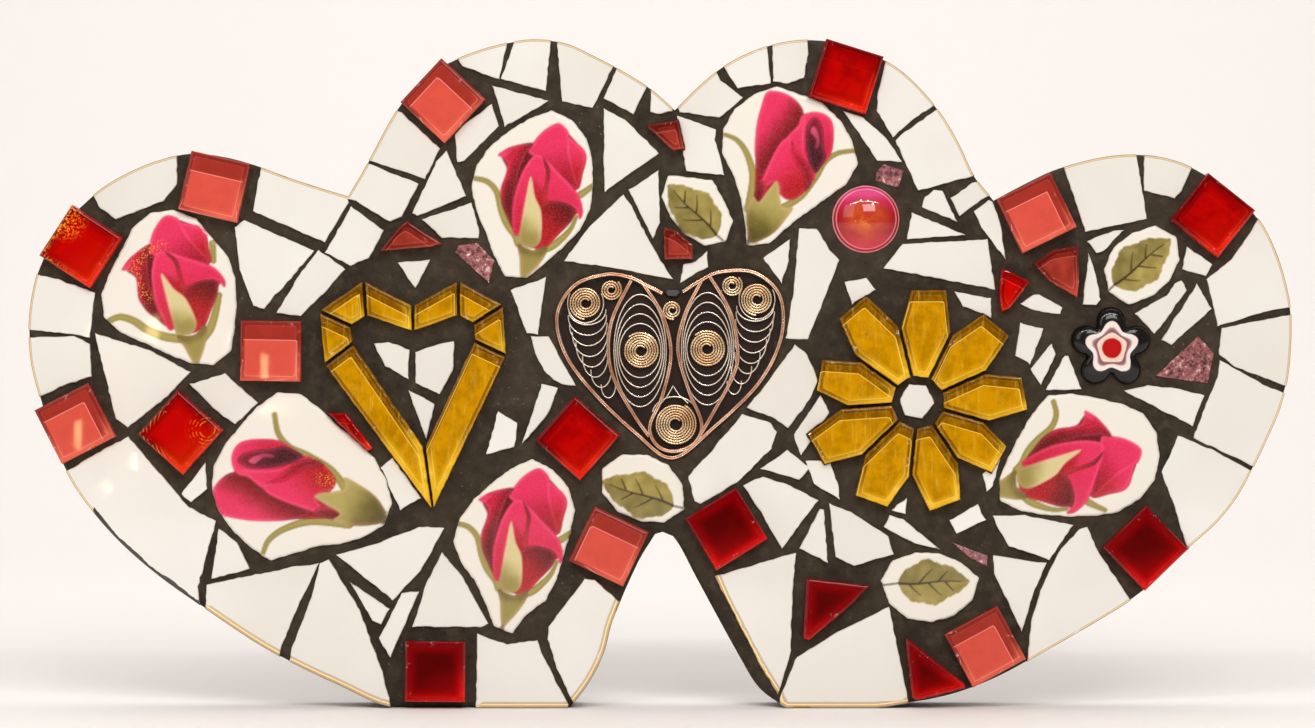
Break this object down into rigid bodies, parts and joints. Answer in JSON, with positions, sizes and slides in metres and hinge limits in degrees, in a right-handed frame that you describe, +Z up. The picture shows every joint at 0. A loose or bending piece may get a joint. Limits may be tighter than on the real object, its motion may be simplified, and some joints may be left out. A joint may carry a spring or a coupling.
{
  "type": "mosaic panel",
  "caption": "Free-standing mosaic panel in the shape of joined hearts, dressed with broken china, painted rose tiles, coloured glass and a filigree heart.",
  "frame": {"origin": "middle of the bounding box in X and Y, at the height of the feet", "axes": "+X along the panel to its right as seen from the front, +Y towards its plain back, +Z up"},
  "size_m": [0.4212, 0.0276, 0.223],
  "materials": {
    "board_wood": "matt dark sealed edge",
    "white_china": "gloss glaze, with dark grout between the pieces",
    "rose_china": "gloss glaze over painted roses",
    "leaf_china": "gloss glaze over painted leaves",
    "coral_glass": "polished, coloured from behind",
    "red_glass": "polished, foil behind",
    "dark_red_glass": "polished, coloured from behind",
    "gold_glass": "polished, foil behind",
    "glitter_glass": "fine pink glitter",
    "dome_glass": "iridescent",
    "bead_glass": "polished black",
    "copper_wire": "bright drawn wire"
  },
  "bodies": {
    "root": {"heart_board": "board_wood", "rose_tile_1": "rose_china", "rose_tile_2": "rose_china", "rose_tile_3": "rose_china", "rose_tile_4": "rose_china", "rose_tile_5": "rose_china", "rose_tile_6": "rose_china", "leaf_tile_1": "leaf_china", "leaf_tile_2": "leaf_china", "leaf_tile_3": "leaf_china", "leaf_tile_4": "leaf_china", "coral_glass_tile_1": "coral_glass", "coral_glass_tile_2": "coral_glass", "coral_glass_tile_3": "coral_glass", "coral_glass_tile_4": "coral_glass", "coral_glass_tile_5": "coral_glass", "coral_glass_tile_6": "coral_glass", "coral_glass_tile_7": "coral_glass", "red_glass_tile_1": "red_glass", "red_glass_tile_2": "red_glass", "red_glass_tile_3": "red_glass", "red_glass_tile_4": "red_glass", "red_glass_tile_5": "red_glass", "dark_red_glass_tile_1": "dark_red_glass", "dark_red_glass_tile_2": "dark_red_glass", "dark_red_glass_tile_3": "dark_red_glass", "red_glass_shard_long": "red_glass", "dark_red_glass_shard_left": "dark_red_glass", "red_glass_shard_cleft": "red_glass", "coral_glass_shard_centre": "coral_glass", "coral_glass_shard_round": "coral_glass", "bright_red_glass_shard": "red_glass", "dark_red_glass_shard_tall": "dark_red_glass", "dark_red_glass_shard_foot": "dark_red_glass", "glitter_shard_1": "glitter_glass", "glitter_shard_2": "glitter_glass", "glitter_shard_3": "glitter_glass", "glitter_shard_4": "glitter_glass", "gold_glass_bar_left_1": "gold_glass", "gold_glass_bar_left_2": "gold_glass", "gold_glass_bar_left_3": "gold_glass", "gold_glass_bar_left_4": "gold_glass", "gold_glass_bar_right_1": "gold_glass", "gold_glass_bar_right_2": "gold_glass", "gold_glass_bar_right_3": "gold_glass", "gold_glass_bar_right_4": "gold_glass", "gold_glass_petal_1": "gold_glass", "gold_glass_petal_2": "gold_glass", "gold_glass_petal_3": "gold_glass", "gold_glass_petal_4": "gold_glass", "gold_glass_petal_5": "gold_glass", "gold_glass_petal_6": "gold_glass", "gold_glass_petal_7": "gold_glass", "gold_glass_petal_8": "gold_glass", "gold_glass_petal_9": "gold_glass", "glass_dome": "dome_glass", "heart_bead": "bead_glass", "flower_bead": "bead_glass", "filigree_heart": "copper_wire", "china_mosaic_in_grout": "white_china"}
  },
  "joints": []
}
